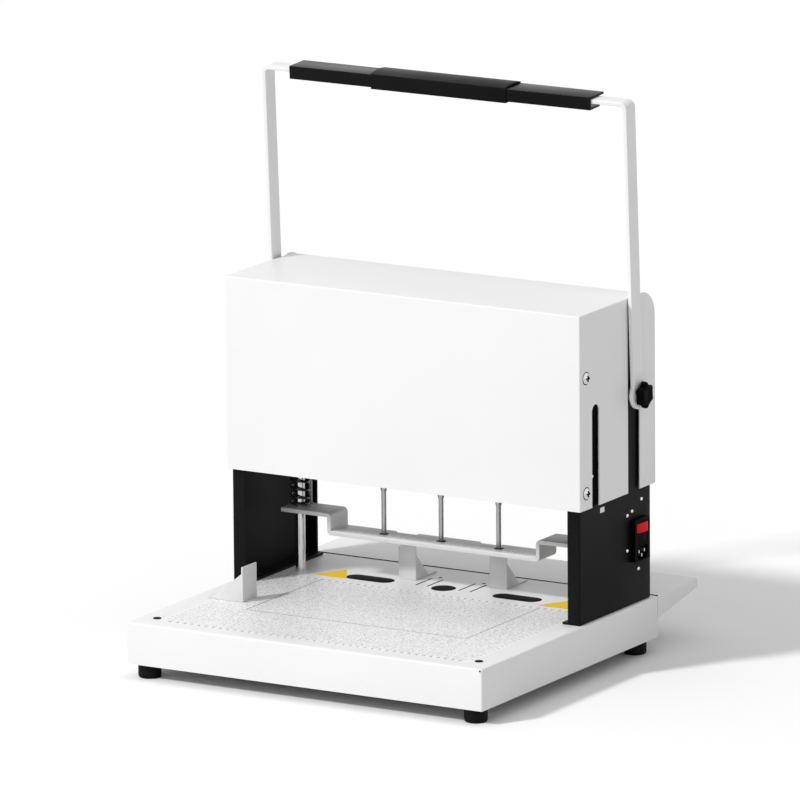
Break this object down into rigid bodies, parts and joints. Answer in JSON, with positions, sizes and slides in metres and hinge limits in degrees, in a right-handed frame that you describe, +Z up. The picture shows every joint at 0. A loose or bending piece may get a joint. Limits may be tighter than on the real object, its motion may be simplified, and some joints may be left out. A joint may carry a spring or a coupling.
{
  "type": "file threading binding machine",
  "caption": "Electric paper drill for binding files: hollow drills on a sprung carriage, pulled down by a U-shaped lever over a gridded table with paper stops.",
  "frame": {"origin": "middle of the machine's outer box at the floor, under its rubber feet", "axes": "+X to the operator's right, +Y to the rear, +Z up; the operator stands at -Y"},
  "size_m": [0.526, 0.518, 0.6946],
  "materials": {
    "white_sheet": "satin",
    "black_sheet": "satin",
    "zinc_sheet": "satin",
    "rubber": "matte",
    "pad_plastic": "matte",
    "stop_steel": "satin",
    "magnet": "satin",
    "chrome": "polished",
    "machined_steel": "satin",
    "black_plastic": "satin",
    "inlet_metal": "satin",
    "red_plastic": "gloss",
    "green_board": "satin",
    "motor_housing": "satin",
    "spring_steel": "satin",
    "press_steel": "satin",
    "scale_white": "satin",
    "drill_steel": "satin",
    "lever_metal": "satin",
    "grip_black": "satin",
    "grip_sleeve": "matte"
  },
  "bodies": {
    "base": {"base_shell": "white_sheet", "bottom_plate": "zinc_sheet", "rear_deck": "white_sheet", "rubber_feet": "rubber", "foot_screws": "zinc_sheet", "work_beam": "black_sheet", "drill_pad_left": "pad_plastic", "drill_pad_center": "pad_plastic", "drill_pad_right": "pad_plastic", "stop_screws": "zinc_sheet", "left_column": "black_sheet", "right_column": "black_sheet", "column_foot_screws": "black_sheet", "frame_screws": "zinc_sheet", "top_beam": "black_sheet", "guide_rods": "chrome", "guide_rod_nuts": "zinc_sheet", "shaft_bearings": "machined_steel", "power_inlet": "black_plastic", "inlet_pins": "inlet_metal", "control_board": "green_board", "front_cover": "white_sheet", "rear_cover": "white_sheet", "cover_screws": "chrome", "cover_spacers": "zinc_sheet", "table_plugs": "black_plastic", "return_spring_left": "spring_steel", "return_spring_right": "spring_steel"},
    "carriage": {"carriage_plate": "machined_steel", "guide_bushes": "zinc_sheet", "racks": "machined_steel", "motor_left": "motor_housing", "motor_center": "motor_housing", "motor_right": "motor_housing", "press_spring_left": "spring_steel", "press_spring_right": "spring_steel"},
    "press": {"press_plate": "press_steel", "press_bushes": "black_plastic", "scale_strip": "scale_white", "hanger_rods": "machined_steel"},
    "drill_left": {"spindle_left": "machined_steel", "drill_bit_left": "drill_steel"},
    "drill_center": {"spindle_center": "machined_steel", "drill_bit_center": "drill_steel"},
    "drill_right": {"spindle_right": "machined_steel", "drill_bit_right": "drill_steel"},
    "lever": {"handle_frame": "lever_metal", "grip_channel": "grip_black", "grip_sleeve": "grip_sleeve", "cross_shaft": "machined_steel", "pinion_left": "machined_steel", "pinion_right": "machined_steel"},
    "knob_left": {"star_knob_left": "black_plastic"},
    "knob_right": {"star_knob_right": "black_plastic"},
    "rear_stop_left": {"rear_stop_left": "stop_steel"},
    "rear_stop_right": {"rear_stop_right": "stop_steel"},
    "side_stop": {"side_stop": "stop_steel", "side_stop_magnet": "magnet"},
    "rocker": {"rocker_switch": "red_plastic"},
    "fuse_drawer": {"fuse_drawer": "black_plastic"}
  },
  "joints": [
    {"name": "lever_swing", "type": "hinge", "parent": "base", "child": "lever", "pos_m": [0, 0.108, 0.328], "axis": [1, 0, 0], "range_deg": [0, 100]},
    {"name": "carriage_slide", "type": "slide", "parent": "base", "child": "carriage", "axis": [0, 0, -1], "range_m": [0, 0.0524], "stiffness_N_per_m": 1200, "springref_m": -0.25, "deforming": ["return_spring_left", "return_spring_right"]},
    {"name": "press_plate_slide", "type": "slide", "parent": "carriage", "child": "press", "axis": [0, 0, 1], "range_m": [0, 0.05], "stiffness_N_per_m": 1500, "springref_m": -0.03, "deforming": ["press_spring_left", "press_spring_right"]},
    {"name": "drill_spin_left", "type": "hinge", "parent": "carriage", "child": "drill_left", "pos_m": [-0.08, 0.0665, 0.205], "axis": [0, 0, 1], "continuous": true},
    {"name": "drill_spin_center", "type": "hinge", "parent": "carriage", "child": "drill_center", "pos_m": [0, 0.0665, 0.205], "axis": [0, 0, 1], "continuous": true},
    {"name": "drill_spin_right", "type": "hinge", "parent": "carriage", "child": "drill_right", "pos_m": [0.08, 0.0665, 0.205], "axis": [0, 0, 1], "continuous": true},
    {"name": "knob_left_turn", "type": "hinge", "parent": "lever", "child": "knob_left", "pos_m": [-0.2567, 0.108, 0.328], "axis": [-1, 0, 0], "range_deg": [0, 360]},
    {"name": "knob_right_turn", "type": "hinge", "parent": "lever", "child": "knob_right", "pos_m": [0.2567, 0.108, 0.328], "axis": [1, 0, 0], "range_deg": [0, 360]},
    {"name": "rear_stop_left_slide", "type": "slide", "parent": "base", "child": "rear_stop_left", "axis": [0, 1, 0], "range_m": [-0.0045, 0.0175]},
    {"name": "rear_stop_right_slide", "type": "slide", "parent": "base", "child": "rear_stop_right", "axis": [0, 1, 0], "range_m": [-0.0175, 0.0045]},
    {"name": "side_stop_slide", "type": "slide", "parent": "base", "child": "side_stop", "axis": [1, 0, 0], "range_m": [-0.02, 0.1]},
    {"name": "rocker_tilt", "type": "hinge", "parent": "base", "child": "rocker", "pos_m": [0.2435, 0.1199, 0.162], "axis": [0, 0, 1], "range_deg": [0, 16]},
    {"name": "fuse_drawer_slide", "type": "slide", "parent": "base", "child": "fuse_drawer", "axis": [1, 0, 0], "range_m": [0, 0.012]}
  ],
  "couplings": [
    {"joint": "carriage_slide", "follows": "lever_swing", "m_per_rad": 0.03}
  ]
}
